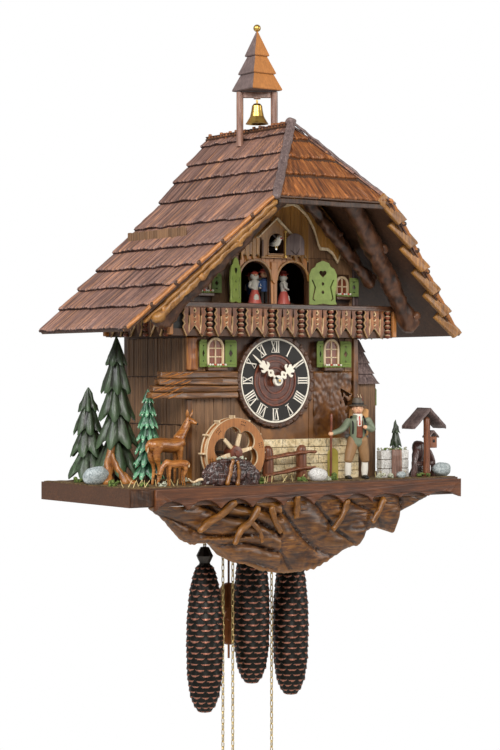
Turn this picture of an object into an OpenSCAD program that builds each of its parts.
// Chalet cuckoo clock with dancers, a water wheel and a bell tower.
// X runs to the right, Y runs into the wall (front faces are negative), Z is up.
// The modules are drawn with the yard board's top at height 0, and hung() then moves
// the whole clock down so that the hole of the hanger plate is the origin.

/* [House] */
// Outside width of the house
house_w = 248; // [244:1:252]
// Depth of the house, from the wall to its front
house_d = 140; // [140:1:142]
// Thickness of the house walls
wall_t = 8; // [7:0.5:9]
// Height of the floor between the storeys, its underside
storey_z = 172; // [170:1:174]
// Height of the hanger hole above the yard board
hanger_z = 330; // [320:1:335]

/* [Roof] */
// Half width of the roof at its eaves
eave_x = 240; // [236:1:244]
// Height of the eaves
eave_z = 177; // [174:1:180]
// How far the eaves come forward from the wall
eave_y = 195; // [190:1:200]
// Half width of the roof where its slope changes
knee_x = 81; // [78:1:84]
// Height of the roof where its slope changes
knee_z = 330; // [326:1:334]
// Height of the ridge
ridge_z = 426; // [422:1:428]
// How far the ridge comes forward
apex_y = 174; // [170:1:178]
// How far the hip comes forward
hip_y = 262; // [258:1:266]
// Upright thickness of the roof
roof_t = 12; // [10:1:13]

/* [Yard] */
// Half width of the yard board
board_x = 239; // [236:1:242]
// Depth of the yard board
board_d = 200; // [198:1:202]
// Thickness of the yard board
board_t = 21; // [18:1:24]

/* [Dial and train] */
// Height of the centre of the dial
dial_z = 120; // [118:1:122]
// Radius of the carved ring round the dial
dial_r = 57.5; // [56:0.5:60]
// Radius of the centre arbor
arbor_r = 1.5; // [1.4:0.05:1.6]
// Gap between an arbor and its hole, on the radius
run_gap = 0.05; // [0.03:0.01:0.08]
// Height of the chain wheels
chain_wheel_z = 26; // [24:1:28]
// How far each weight can come down on its chain
drop = 140; // [120:5:140]

/* [Weights and pendulum] */
// Radius of a weight at its widest
cone_r = 22.5; // [21:0.5:22.5]
// Length of a weight with its cap
cone_len = 201; // [190:1:205]
// Radius of a chain
chain_r = 2.2; // [1.8:0.1:2.3]
// Height of the lowest end of the free chains, below the yard board
chain_end = 346; // [340:1:350]
// Distance from the pendulum's pivot to its tip
pendulum_len = 370; // [360:1:372]

/* [Bell tower] */
// Height of the bell beam's underside
beam_z = 461.6; // [460:0.2:463]
// Height of the top of the spire
spire_z = 543; // [538:1:546]
// Radius of the bell's mouth
bell_r = 14; // [13:0.5:14]

/* [Hidden] */
$fn = 48;
cut = 1;                                // how far a cutter runs past a face
half_w = house_w / 2;
inner_x = half_w - wall_t;
front_y = -house_d;
panel_t = 8;                            // back board
facade_t = 5;                           // boards of the upper front
upper_z = storey_z + 8;                 // top of the floor between the storeys
arch_top = 268;                         // where the arch board ends and the gable begins
deck_x = 162;                           // half width of the balcony
arch_x = 27.5;
arch_r = 22;
arch_foot = 212;
cuckoo_r = 11;                          // half width of the cuckoo's opening
cuckoo_foot = 272;
door_open = 35;                         // how far an open door stands off the front
shutter_open = 22;
plate_front = -106;                     // faces of the movement's brass plates
plate_back = -66;
plate_t = 1.5;
chain_y = -86;
pendulum_y = -45;
anchor_z = dial_z + 26;
stage_x = 4;                            // spindle of the dancers' turntable
stage_y = -76;
stage_r = 56;
stage_z = 205;
couples = 5;
wheel_x = -83;                          // hub of the water wheel
wheel_y = -175;
wheel_z = 36;
wheel_r = 44;
post_x = 17;                            // bell posts stand on a diagonal
post_y = 12;
tower_y = -106;
bell_z = beam_z - 2.4;
pin_x = 12.5;                           // hinge pin of the cuckoo's door
pin_y = front_y - 7.5;
// each weight: its place across, where its chain's free side hangs, and the top of its cap
weight_x = [-63, 6, 65];
free_x = [-36.5, -22, 36];
cap_z = [-79, -50, -69];

// height of the roof's upper face at distance x from the ridge
function roof_z(x) = x < knee_x
  ? ridge_z - (ridge_z - knee_z) * x / knee_x
  : knee_z - (knee_z - eave_z) * (x - knee_x) / (eave_x - knee_x);

module hung() translate([0, 0, -hanger_z]) children();
// an outline in X and Z, made thick towards the wall from y
module upright(y, t) translate([0, y + t, 0]) rotate([90, 0, 0]) linear_extrude(t) children();
module rod(r, y0, y1) translate([0, y1, 0]) rotate([90, 0, 0]) cylinder(r = r, h = y1 - y0);
module block(low, high) translate(low) cube(high - low);
module both_sides() { children(); mirror([1, 0, 0]) children(); }
// a round bar from p to q
module bar(p, q, r) {
  d = q - p;
  translate(p) rotate([0, acos(d[2] / norm(d)), atan2(d[1], d[0])]) cylinder(r = r, h = norm(d));
}
module arch_outline(half, foot, top)
  union() {
    translate([-half, foot]) square([2 * half, top - half - foot]);
    translate([0, top - half]) circle(r = half);
  }
// what lies under the roof, between two heights
module under_roof(x, low, high) {
  intersection() {
    translate([-x, low]) square([2 * x, high - low]);
    polygon([[-eave_x, eave_z - roof_t], [-knee_x, knee_z - roof_t], [0, ridge_z - roof_t],
      [knee_x, knee_z - roof_t], [eave_x, eave_z - roof_t], [eave_x, 0], [-eave_x, 0]]);
  }
}

// ---- case ----
module back_panel() color("saddlebrown") difference() {
  upright(-panel_t, panel_t) under_roof(half_w, 0, ridge_z);
  translate([0, -4, hanger_z]) rotate([-90, 0, 0]) cylinder(r = 17, h = 5);
  translate([0, -panel_t - cut, hanger_z]) rotate([-90, 0, 0]) cylinder(r = 8, h = panel_t);
}
module hanger_plate() color("goldenrod") difference() {
  translate([0, -4, hanger_z]) rotate([-90, 0, 0]) cylinder(r = 16, h = 4);
  translate([0, -5, hanger_z]) rotate([-90, 0, 0]) cylinder(r = 4, h = 6);
  for (a = [30, 150, 270]) translate([11.5 * cos(a), -5, hanger_z + 11.5 * sin(a)])
    rotate([-90, 0, 0]) cylinder(r = 1.6, h = 6);
}
module yard_board() color("sienna") difference() {
  block([-board_x, -board_d, -board_t], [board_x, 0, 0]);
  block([wheel_x - 30, wheel_y - 9, -12], [wheel_x + 30, wheel_y + 9, cut]);
  block([-20, pendulum_y - 7, -board_t - cut], [20, pendulum_y + 7, cut]);
  for (x = concat(weight_x, free_x)) translate([x, chain_y, -board_t - cut])
    cylinder(r = 5, h = board_t + 2 * cut);
}
module front_carving() color("peru") {
  scallop = 28;
  count = 16;
  upright(-board_d - 6, 6) difference() {
    translate([-208, -26]) square([count * scallop, 24]);
    for (i = [0:count]) translate([-208 + i * scallop, -28]) circle(r = 6);
  }
}
module carved_apron() color("darkgoldenrod") upright(-194, 40)
  polygon([[-204, -board_t], [-190, -32], [-163, -60], [-148, -67], [-120, -67], [-92, -89],
    [-50, -102], [-13, -107], [29, -104], [71, -84], [94, -80], [102, -64], [122, -59],
    [148, -67], [152, -47], [166, -37], [196, -board_t]]);
module side_walls() color("sienna") both_sides() {
  top = roof_z(half_w) - roof_t;
  block([inner_x, front_y, 0], [half_w, -panel_t, storey_z]);
  block([inner_x, front_y, storey_z], [half_w, -panel_t, top]);
}
module front_wall() color("sienna") difference() {
  block([-inner_x, front_y, 0], [inner_x, front_y + wall_t, storey_z]);
  translate([0, 0, dial_z]) rod(6, front_y - cut, front_y + wall_t + cut);
  translate([wheel_x, 0, wheel_z]) rod(2 + run_gap, front_y - cut, front_y + wall_t + cut);
}
module corner_logs() color("darkgoldenrod") {
  pitch = 10.7;
  radius = 5.5;
  y = front_y - radius - 0.1;
  for (i = [0:2]) bar([-180 + i * 11, y, 99 + pitch * (i + 0.5)],
    [-dial_r - 0.5, y, 99 + pitch * (i + 0.5)], radius);
}
module upper_front() color("peru") upright(front_y, facade_t) difference() {
  translate([-inner_x, upper_z]) square([2 * inner_x, arch_top - upper_z]);
  for (s = [-1, 1]) translate([s * arch_x, 0]) arch_outline(arch_r, arch_foot, 262);
}
module gable_panel() color("peru") upright(front_y, facade_t) difference() {
  under_roof(inner_x, arch_top, ridge_z);
  arch_outline(cuckoo_r, cuckoo_foot, 296);
}
module gable_arch() color("darkgoldenrod") upright(front_y - 8, 8) both_sides()
  polygon([[0, 331], [11, 331], [23, 334], [38, 326], [50, 313], [59, 295], [64, 282], [76, 281],
    [91, 266], [98, 289], [90, 308], [70, 328], [42, 358], [24, 370], [0, 386]]);
module upper_floor() color("sienna") difference() {
  union() {
    block([-inner_x, front_y, storey_z], [inner_x, -panel_t, upper_z]);
    both_sides() {
      block([0, -166, storey_z], [deck_x, front_y, upper_z]);
      block([half_w, front_y, storey_z], [deck_x, -20, upper_z]);
    }
  }
  translate([stage_x, stage_y, storey_z - cut]) cylinder(r = 2.5 + run_gap, h = 10);
}
module railing_run(len) {
  pitch = 22;
  count = floor(len / pitch);
  difference() {
    translate([0, 174]) square([len, 34]);
    for (i = [0:count]) polygon([[i * pitch - 7, 173], [i * pitch, 186], [i * pitch + 7, 173]]);
  }
  translate([0, 205]) square([len, 6]);
}
module balcony_railing() color("chocolate") {
  translate([-deck_x - 3, 0, 0]) upright(-169.2, 3) railing_run(2 * deck_x + 6);
  both_sides() translate([-deck_x, -166, 0]) rotate([0, 0, 90]) upright(0.2, 2.8)
    railing_run(146);
}

// ---- roof ----
module slope_band() polygon([[0, ridge_z], [-knee_x, knee_z], [-eave_x, eave_z],
  [-eave_x, eave_z - roof_t], [-knee_x, knee_z - roof_t], [0, ridge_z - roof_t]]);
module roof_slope() color("brown") intersection() {
  upright(-hip_y, hip_y) slope_band();
  translate([0, 0, 100]) linear_extrude(400)
    polygon([[0, 0], [-eave_x, 0], [-eave_x, -eave_y], [-knee_x, -hip_y], [0, -apex_y]]);
}
module roof_left() roof_slope();
module roof_right() mirror([1, 0, 0]) roof_slope();
module roof_hip() color("chocolate") intersection() {
  translate([-knee_x, 0, 0]) rotate([90, 0, 90]) linear_extrude(2 * knee_x)
    polygon([[-apex_y, ridge_z], [-hip_y, knee_z], [-hip_y, knee_z - roof_t],
      [-apex_y, ridge_z - roof_t]]);
  translate([0, 0, 100]) linear_extrude(400)
    polygon([[0, -apex_y], [-knee_x, -hip_y], [knee_x, -hip_y]]);
}
// a board that runs along an edge of the roof from p to q, hanging down by depth
module verge(p, q, depth) hull() for (end = [p, q]) translate(end - [0, 0, depth])
  cube([6, 5, depth]);
module verge_boards() color("saddlebrown") {
  gap = 0.5;
  both_sides() verge([-eave_x, -eave_y + 2, eave_z - roof_t - gap],
    [-knee_x, -hip_y + 2, knee_z - roof_t - gap], 9);
  block([-knee_x + 7, -hip_y + 1, knee_z - roof_t - 9], [knee_x - 7, -hip_y + 6, knee_z - roof_t]);
}
module branch_logs() color("saddlebrown") both_sides() {
  bar([50, -225, 336], [182, -175, 188], 8.5);
  bar([38, -160, 334], [132, -160, 239], 6.5);
}

// ---- front fittings ----
upper_win = [102, 20, 223, 248];        // centre, width, foot and top
lower_win = [85.5, 24, 136, 171];
module window_frame(w) translate([w[0], 0, 0]) {
  half = w[1] / 2;
  upright(front_y - 3, 3) difference() {
    arch_outline(half, w[2], w[3]);
    arch_outline(half - 3.2, w[2] + 3.2, w[3] - 3.2);
  }
  upright(front_y - 2.2, 1.4) intersection() {
    arch_outline(half - 3.1, w[2] + 3.1, w[3] - 3.1);
    union() {
      translate([-0.8, w[2]]) square([1.6, w[3] - w[2]]);
      translate([-half, (w[2] + w[3]) / 2 - 0.8]) square([w[1], 1.6]);
    }
  }
  upright(front_y - 0.7, 0.7) arch_outline(half - 3.2, w[2] + 3.2, w[3] - 3.2);
  block([-half - 2, front_y - 8, w[2] - 4.4], [half + 2, front_y, w[2] - 0.2]);
}
module window_frames() color("wheat") both_sides() {
  window_frame(upper_win);
  window_frame(lower_win);
}
// a pair of leaves of the given width beside an opening, standing off the front
module leaves(inner, w, foot, h, off, t) for (s = [-1, 1])
  translate([s * inner, front_y - 2, foot]) rotate([0, 0, s > 0 ? -off : 180 + off])
    translate([0, s > 0 ? -t : 0, 0]) cube([w, t, h]);
module window_shutters() color("olivedrab") both_sides() {
  translate([upper_win[0], 0, 0]) leaves(upper_win[1] / 2 + 0.5, 12, 223, 23, shutter_open, 1.6);
  translate([lower_win[0], 0, 0]) leaves(lower_win[1] / 2 + 0.5, 14.5, 136, 32, shutter_open, 1.6);
}
module dancer_doors() color("olivedrab")
  leaves(arch_x + arch_r + 0.5, 34, arch_foot, 52, door_open, 2.2);
module cuckoo_house() color("burlywood") {
  upright(front_y - 6, 6) difference() {
    polygon([[-22, 266], [22, 266], [22, 290], [27, 290], [0, 313], [-27, 290], [-22, 290]]);
    arch_outline(cuckoo_r, cuckoo_foot, 296);
  }
  for (z = [267.5, 297.5]) translate([pin_x, pin_y, z]) difference() {
    cylinder(r = 2.2, h = 2);
    translate([0, 0, -cut]) cylinder(r = 0.8 + run_gap, h = 2 + 2 * cut);
  }
}
module bell_tower() color("rosybrown") {
  dir = atan2(-post_y, post_x);
  difference() {
    for (s = [-1, 1]) translate([s * post_x, tower_y - s * post_y, ridge_z - 40])
      cylinder(r = 4.2, h = 470 - ridge_z + 40);
    upright(-hip_y, hip_y) polygon([[-eave_x, eave_z], [-knee_x, knee_z], [0, ridge_z],
      [knee_x, knee_z], [eave_x, eave_z]]);
  }
  translate([0, tower_y, beam_z]) rotate([0, 0, dir]) difference() {
    block([-16.8, -3, 0], [16.8, 3, 8.4]);
    block([-2.2, -4, -1], [2.2, 4, 1.2]);
  }
  spire = [[471, 22, 8], [491, 16, 5.4], [513, 11, 0.8]];
  tops = [491, 513, spire_z];
  for (i = [0:2]) translate([0, tower_y, spire[i][0]]) rotate([0, 0, 45])
    cylinder(r1 = spire[i][1] * sqrt(2), r2 = spire[i][2] * sqrt(2),
      h = tops[i] - spire[i][0], $fn = 4);
  translate([0, tower_y, spire_z - 4]) cylinder(r = 1, h = 6);
  translate([0, tower_y, spire_z + 4.5]) sphere(r = 4.5);
}

// ---- dial and hands ----
module dial_ring() color("sienna") translate([0, 0, dial_z]) difference() {
  rod(dial_r, front_y - 7, front_y);
  for (i = [0:29]) rotate([0, i * 12 + 6, 0]) translate([dial_r + 1.2, 0, 0])
    rod(2.6, front_y - 8, front_y + cut);
  rod(51, front_y - 8, front_y + cut);
  block([-dial_r, front_y - 8, storey_z - dial_z - 0.2], [dial_r, front_y + cut, dial_r + cut]);
}
module dial_plate() color("dimgray") translate([0, 0, dial_z]) difference() {
  rod(50.9, front_y - 4, front_y);
  rod(4.2, front_y - 5, front_y + cut);
}
module hand(len, w, y, t) {
  upright(y, t) difference() {
    union() {
      circle(r = 5);
      polygon([[-w / 4, 0], [-w / 2, len * 0.35], [-w / 4, len * 0.5], [-w / 2, len * 0.68],
        [0, len], [w / 2, len * 0.68], [w / 4, len * 0.5], [w / 2, len * 0.35], [w / 4, 0]]);
    }
    circle(r = arbor_r + run_gap);
  }
}
module hour_hand() color("ivory") translate([0, 0, dial_z]) {
  rotate([0, 55.8, 0]) hand(41, 12, front_y - 8.4, 1.2);
  difference() {
    rod(3.4, front_y - 7.2, front_y + 32);
    rod(arbor_r + run_gap, front_y - 8, front_y + 33);
  }
}
module minute_hand() color("ivory") translate([0, 0, dial_z]) {
  rotate([0, -50.4, 0]) hand(48.7, 10, front_y - 10.8, 1.2);
  difference() {
    translate([0, front_y - 10.8, 0]) rotate([90, 0, 0]) cylinder(r = 3.6, h = 2, $fn = 6);
    rod(arbor_r, front_y - 14, front_y - 10);
  }
}

// ---- movement ----
module toothed_wheel(r, teeth) difference() {
  circle(r = r);
  for (i = [0:teeth - 1]) rotate(i * 360 / teeth) translate([r, 0]) square([2.4, r * 2 / teeth],
    center = true);
}
module movement_frame() color("gold") {
  difference() {
    union() {
      for (y = [plate_front, plate_back - plate_t])
        block([-80, y, 4], [80, y + plate_t, anchor_z + 8]);
      for (x = [-74, 74]) for (z = [10, anchor_z]) translate([x, 0, z])
        rod(3, plate_front, plate_back);
      both_sides() block([60, plate_back, 4], [80, plate_back + 6, 6]);
    }
    for (i = [0:2]) translate([(weight_x[i] + free_x[i]) / 2, 0, chain_wheel_z])
      rod(arbor_r + run_gap, plate_front - cut, plate_back + cut);
    translate([0, 0, dial_z]) rod(arbor_r + run_gap, plate_front - cut, plate_back + cut);
    translate([0, 0, anchor_z]) rod(arbor_r + run_gap, plate_back - plate_t - cut, plate_back + cut);
  }
}
module centre_arbor() color("gold") translate([0, 0, dial_z]) {
  rod(arbor_r, front_y - 13.5, plate_back + 1);
  upright(plate_front + 4, 1.5) toothed_wheel(22, 36);
}
module chain_wheel(i) {
  x = (weight_x[i] + free_x[i]) / 2;
  r = abs(weight_x[i] - free_x[i]) / 2 - chain_r - 0.4;
  color("gold") translate([x, 0, chain_wheel_z]) {
    rod(arbor_r, plate_front - 0.5, plate_back + 1);
    rod(r, chain_y - 3, chain_y + 3);
    upright(plate_front + 7, 1.5) toothed_wheel(20, 36);
  }
}
module chain_wheel_left() chain_wheel(0);
module chain_wheel_middle() chain_wheel(1);
module chain_wheel_right() chain_wheel(2);
module pendulum_rod() color("peru") {
  translate([0, 0, anchor_z]) rod(arbor_r, -82, pendulum_y + 2);
  upright(-80, 3) polygon([[-14, anchor_z - 9], [-9, anchor_z + 3], [0, anchor_z + 6],
    [9, anchor_z + 3], [14, anchor_z - 9], [8, anchor_z - 2], [0, anchor_z - 1], [-8, anchor_z - 2]]);
  translate([0, pendulum_y, anchor_z - pendulum_len]) cylinder(r = 1.4, h = pendulum_len);
}
module pendulum_bob() color("sienna") upright(pendulum_y - 4, 8) difference() {
  translate([0, -169]) union() {
    circle(r = 27);
    for (a = [0:60:300]) rotate(a + 90) translate([26, 0]) circle(r = 13);
  }
  translate([-1.4, -230]) square([2.8, 120]);
}

// ---- sound ----
module whistles() color("tan") both_sides() {
  difference() {
    block([90, -122, 2], [112, -97, 150]);
    block([93, -119, 6], [109, -100, 151]);
    block([93, -123, 120], [109, -118, 128]);
  }
  block([88, -128, 150], [114, -68, 153]);
  block([90, -126, 153], [112, -72, 158]);
}
module bellows_board() color("tan") block([88, -128, 158.4], [114, -68, 161]);
module bellows_board_right() bellows_board();
module bellows_board_left() mirror([1, 0, 0]) bellows_board();
music = [70, -34, 24];                  // centre of the music cylinder
module music_frame() color("gold") {
  block([32, -58, 2], [108, -16, 5]);
  for (x = [38, 98]) difference() {
    block([x, -44, 5], [x + 3, -24, 32]);
    translate([x - cut, music[1], music[2]]) rotate([0, 90, 0])
      cylinder(r = arbor_r + run_gap, h = 5);
  }
  block([43, -58, 5], [96, -54, 22]);
  block([43, -58, 22], [96, music[1] - 9.6, 23.4]);
}
module music_cylinder() color("gold") translate(music) rotate([0, 90, 0]) {
  translate([0, 0, -33]) cylinder(r = arbor_r, h = 66);
  translate([0, 0, -27]) cylinder(r = 9, h = 54);
}

// ---- figures that move ----
module cuckoo_bird() color("ivory") {
  translate([0, front_y - 6, 285]) {
    rotate([80, 0, 0]) rotate_extrude() intersection() {
      scale([0.5, 1]) circle(r = 9.5);
      translate([0, -10]) square([10, 20]);
    }
    translate([0, -6, 5]) sphere(r = 3.6);
    translate([0, -9, 5]) rotate([90, 0, 0]) cylinder(r1 = 1.3, r2 = 0.3, h = 4.5);
  }
  translate([0, 0, 277.5]) rod(1.4, front_y - 6, front_y + 60);
  translate([0, front_y - 5, 277]) cylinder(r = 0.9, h = 5);
}
module cuckoo_door() color("dimgray") translate([pin_x, pin_y, 0]) {
  translate([0, 0, 267.6]) cylinder(r = 0.8, h = 31.8);
  rotate([0, 0, -door_open]) translate([0, -0.75, 270.6]) cube([23, 1.5, 26]);
}
module dancer_turntable() color("sienna") translate([stage_x, stage_y, 0]) {
  translate([0, 0, stage_z]) cylinder(r = stage_r, h = 4);
  translate([0, 0, storey_z - 4]) cylinder(r = 2.5, h = stage_z - storey_z + 5);
}
module figure(h, skirt) {
  rotate_extrude($fn = 24) polygon([[0, 0], [skirt, 0], [skirt * 0.55, h * 0.45], [skirt * 0.7, h * 0.7],
    [skirt * 0.25, h * 0.76], [0, h * 0.76]]);
  translate([0, 0, h * 0.87]) sphere(r = h * 0.12, $fn = 24);
}
module dancers() color("firebrick") for (i = [0:couples - 1])
  translate([stage_x, stage_y, stage_z + 4]) rotate([0, 0, i * 360 / couples - 105])
    translate([stage_r - 9.5, 0, 0]) {
      translate([0, -5.2, 0]) figure(44, 8);
      translate([0, 6, 0]) figure(46, 6);
    }

// ---- bell ----
module bell() color("goldenrod") translate([0, tower_y, bell_z]) {
  mouth = -28;
  rotate_extrude() polygon([[0, -3], [4, -3.4], [6.2, -6], [7, -12], [8.5, -19], [bell_r - 2, -25],
    [bell_r, mouth], [bell_r - 1.6, mouth], [bell_r - 3.6, -24.5], [7, -19], [5.6, -12], [4.8, -7],
    [3, -5], [0, -4.8]]);
  translate([0, 0, -4]) cylinder(r = 1.2, h = 5.4);
}
module bell_clapper() color("goldenrod") translate([0, tower_y, bell_z]) {
  translate([0, 0, -25]) cylinder(r = 0.7, h = 19.8);
  translate([0, 0, -25]) sphere(r = 2.6);
}

// ---- water wheel ----
module water_wheel() color("burlywood") translate([wheel_x, wheel_y, wheel_z]) {
  rod(2, -9, 47);
  difference() {
    union() {
      rod(wheel_r - 3, -7, -4);
      rod(wheel_r - 6, -4, 7);
      for (i = [0:11]) rotate([0, i * 30, 0]) block([wheel_r - 8, -4, -1], [wheel_r, 7, 1]);
    }
    rod(wheel_r - 11, -8, 8);
  }
  rod(9, -7, 7);
  for (i = [0:5]) rotate([0, i * 60, 0]) block([7, -6, -4], [wheel_r - 9, 4, 4]);
}

// ---- weights and chains ----
module weight(i) color("dimgray") translate([weight_x[i], chain_y, cap_z[i]]) {
  rotate_extrude() polygon([[0, -cone_len], [9, -cone_len + 2], [cone_r * 0.8, -cone_len + 22],
    [cone_r, -cone_len + 70], [cone_r, -cone_len + 120], [cone_r * 0.78, -40], [12, -24],
    [7.5, -20], [9, -10], [5, 0], [0, 0]]);
  cylinder(r = chain_r, h = chain_wheel_z + drop - cap_z[i]);
}
module weight_left() weight(0);
module weight_middle() weight(1);
module weight_right() weight(2);
module free_chain(i) color("gold") translate([free_x[i], chain_y, -chain_end]) {
  cylinder(r = chain_r, h = chain_end + chain_wheel_z);
  translate([0, 0, -6]) rotate([0, 90, 0]) rotate_extrude() translate([6, 0]) circle(r = 1.2, $fn = 24);
}
module chain_left() free_chain(0);
module chain_middle() free_chain(1);
module chain_right() free_chain(2);

// ---- yard ----
module turret() color("sienna") difference() {
  translate([146, -112, 0]) {
    cylinder(r = 25.5, h = 116);
    translate([0, 0, 115.5]) cylinder(r1 = 28.5, r2 = 6.5, h = storey_z - 116.5);
    rotate([0, 0, 20]) for (y = [-9, 9]) translate([24, y - 0.8, 88]) cube([12, 1.6, 22]);
  }
  block([100, -150, -cut], [half_w + 0.2, -60, storey_z]);
}
module yard_walls() color("wheat") {
  block([-24, -154, 0], [119, -146, 50]);
  block([140, -172, 0], [184, -162, 34]);
  for (x = [-25, 24]) translate([x, -163, 0]) cylinder(r = 4.5, h = 42);
  for (z = [14, 30]) block([-31, -160, z], [44, -157, z + 6]);
}
module rock_trough() color("saddlebrown") upright(-198, 11)
  polygon([[-138, 0], [-60, 0], [-62, 20], [-72, 30], [-88, 34], [-110, 33], [-126, 28], [-136, 16]]);
module yard_stones() color("lightsteelblue") {
  stones = [[-224, -102, 17, 12], [29, -190, 14, 9], [231, -180, 9, 10], [160, -186, 7, 5]];
  for (s = stones) translate([s[0], s[1], 0]) intersection() {
    translate([0, 0, s[3] - 1]) scale([1, 0.8, s[3] / s[2]]) sphere(r = s[2]);
    block([-30, -30, 0], [30, 30, 30]);
  }
}
module pine(p, r, h, tiers) translate([p[0], p[1], 0]) {
  cylinder(r = 3, h = h * 0.3);
  for (i = [0:tiers - 1]) {
    low = h * (0.1 + 0.9 * i / tiers);
    translate([0, 0, low]) cylinder(r1 = r * (1 - i / tiers) + 2, r2 = 0.8,
      h = i == tiers - 1 ? h - low : h * 1.5 / tiers);
  }
}
module pine_trees() color("darkolivegreen") {
  pine([-186, -84], 25, 172, 5);
  pine([-200, -34], 23, 112, 4);
  pine([-166, -122], 18, 110, 5);
  pine([205, -120], 9, 70, 4);
}
module animal(p, turn, s) translate([p[0], p[1], 0]) rotate([0, 0, turn]) scale(s) {
  translate([0, 0, 42]) scale([22, 8, 9] / 10) sphere(r = 10, $fn = 32);
  bar([16, 0, 44], [30, 0, 62], 3.6);
  translate([33, 0, 65]) scale([1.6, 1, 1]) sphere(r = 4, $fn = 32);
  for (x = [-14, 13]) for (y = [-3.5, 3.5]) translate([x, y, 0]) cylinder(r = 1.6, h = 40);
}
module deer() color("peru") {
  animal([-160, -160], 12, 1);
  animal([-168, -184], 175, 0.62);
}
module hiker() color("olive") {
  translate([100, -176, 0]) {
    for (s = [-1, 1]) translate([s * 6, 0, 0]) {
      cylinder(r = 4, h = 32);
      block([-4, -9, 0], [4, 5, 5]);
    }
    translate([0, 0, 26]) cylinder(r1 = 11, r2 = 10, h = 22);
    translate([0, 0, 47]) cylinder(r1 = 10, r2 = 12, h = 32);
    translate([0, 0, 87]) sphere(r = 8.4);
    translate([0, 0, 91]) cylinder(r = 12, h = 1.6);
    translate([0, 0, 92]) cylinder(r1 = 7.5, r2 = 5, h = 9);
    block([-9, 8, 50], [9, 19, 74]);
  }
  bar([76, -184, 0.2], [80, -184, 78], 1.6);
}
module bird_feeder() color("saddlebrown") translate([203, -178, 0]) {
  translate([0, 0, 0]) cylinder(r = 3, h = 64);
  block([-18, -6, 14], [18, 6, 20]);
  for (x = [-15, 15]) translate([x, 0, 0]) cylinder(r = 2.5, h = 34);
  upright(-12, 24) polygon([[-28, 58], [0, 84], [28, 58], [24, 56], [0, 78], [-24, 56]]);
  block([6, -6, 36], [16, 6, 50]);
}

hung() back_panel();
hung() hanger_plate();
hung() yard_board();
hung() front_carving();
hung() carved_apron();
hung() side_walls();
hung() front_wall();
hung() corner_logs();
hung() upper_front();
hung() gable_panel();
hung() gable_arch();
hung() upper_floor();
hung() balcony_railing();
hung() roof_left();
hung() roof_right();
hung() roof_hip();
hung() verge_boards();
hung() branch_logs();
hung() window_frames();
hung() window_shutters();
hung() dancer_doors();
hung() cuckoo_house();
hung() bell_tower();
hung() dial_ring();
hung() dial_plate();
hung() turret();
hung() yard_walls();
hung() rock_trough();
hung() yard_stones();
hung() pine_trees();
hung() deer();
hung() hiker();
hung() bird_feeder();
hung() movement_frame();
hung() whistles();
hung() music_frame();
hung() hour_hand();
hung() minute_hand();
hung() centre_arbor();
hung() pendulum_rod();
hung() pendulum_bob();
hung() cuckoo_bird();
hung() cuckoo_door();
hung() dancer_turntable();
hung() dancers();
hung() music_cylinder();
hung() water_wheel();
hung() bell();
hung() bell_clapper();
hung() bellows_board_left();
hung() bellows_board_right();
hung() weight_left();
hung() weight_middle();
hung() weight_right();
hung() chain_left();
hung() chain_middle();
hung() chain_right();
hung() chain_wheel_left();
hung() chain_wheel_middle();
hung() chain_wheel_right();
